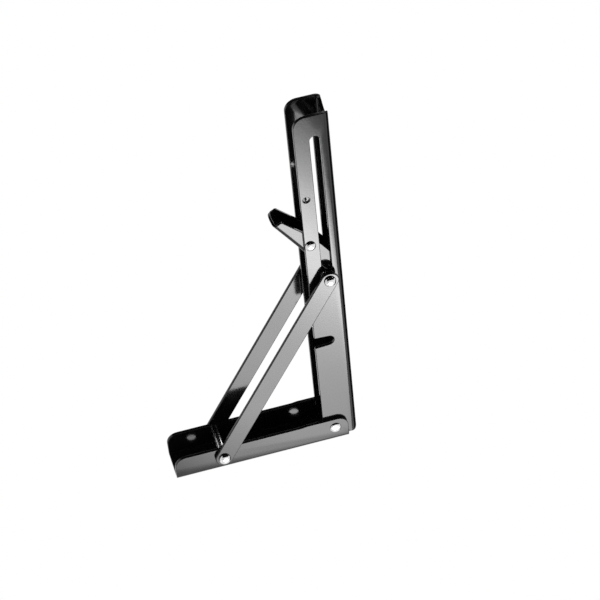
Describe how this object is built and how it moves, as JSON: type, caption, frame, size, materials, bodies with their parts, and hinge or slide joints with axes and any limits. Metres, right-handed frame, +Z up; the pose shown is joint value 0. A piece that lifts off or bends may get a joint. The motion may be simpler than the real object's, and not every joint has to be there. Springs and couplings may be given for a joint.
{
  "type": "folding shelf bracket",
  "caption": "Folding triangle shelf bracket: a wall plate and a hinged shelf arm held level by a slotted strut, released by a sprung lever to fold flat down the wall.",
  "frame": {"origin": "centre of the middle wall screw hole, on the wall side of the wall plate", "axes": "+X away from the wall along the level shelf arm, +Z up towards the shelf, +Y across the bracket, to the right of a person who faces the wall"},
  "size_m": [0.3042, 0.0408, 0.1408],
  "materials": {
    "coated_steel": "smooth glossy black coating on bent sheet steel",
    "rivet_steel": "bright zinc-plated rivet steel",
    "spring_steel": "plain drawn spring wire"
  },
  "bodies": {
    "wall_plate": {"wall_plate": "coated_steel", "hinge_rivet": "rivet_steel", "lower_strut_rivet": "rivet_steel"},
    "shelf_arm": {"shelf_arm": "coated_steel", "lever_rivet": "rivet_steel", "lever_spring": "spring_steel"},
    "strut": {"strut_bar_right": "coated_steel", "strut_bar_left": "coated_steel", "upper_rivet_right": "rivet_steel", "upper_rivet_left": "rivet_steel"},
    "slot_studs": {"slot_stud_right": "rivet_steel", "slot_stud_left": "rivet_steel", "stud_collar_right": "rivet_steel", "stud_collar_left": "rivet_steel"},
    "release_lever": {"release_lever": "coated_steel"}
  },
  "joints": [
    {"name": "arm_fold", "type": "hinge", "parent": "wall_plate", "child": "shelf_arm", "pos_m": [0.0126, 0, 0.06305], "axis": [0, 1, 0], "range_deg": [0, 90]},
    {"name": "strut_swing", "type": "hinge", "parent": "wall_plate", "child": "strut", "pos_m": [0.0126, 0, -0.02335], "axis": [0, 1, 0], "range_deg": [0, 120.2]},
    {"name": "stud_slide", "type": "slide", "parent": "shelf_arm", "child": "slot_studs", "axis": [1, 0, 0], "range_m": [0, 0.1128]},
    {"name": "lever_press", "type": "hinge", "parent": "shelf_arm", "child": "release_lever", "pos_m": [0.192, 0, 0.05855], "axis": [0, -1, 0], "range_deg": [0, 24], "stiffness_Nm_per_rad": 0.15, "springref_deg": -28.65, "deforming": ["lever_spring"]}
  ],
  "couplings": [
    {"joint": "strut_swing", "follows": "arm_fold", "ratio": 1.3339},
    {"joint": "stud_slide", "follows": "arm_fold", "m_per_rad": 0.071749}
  ]
}
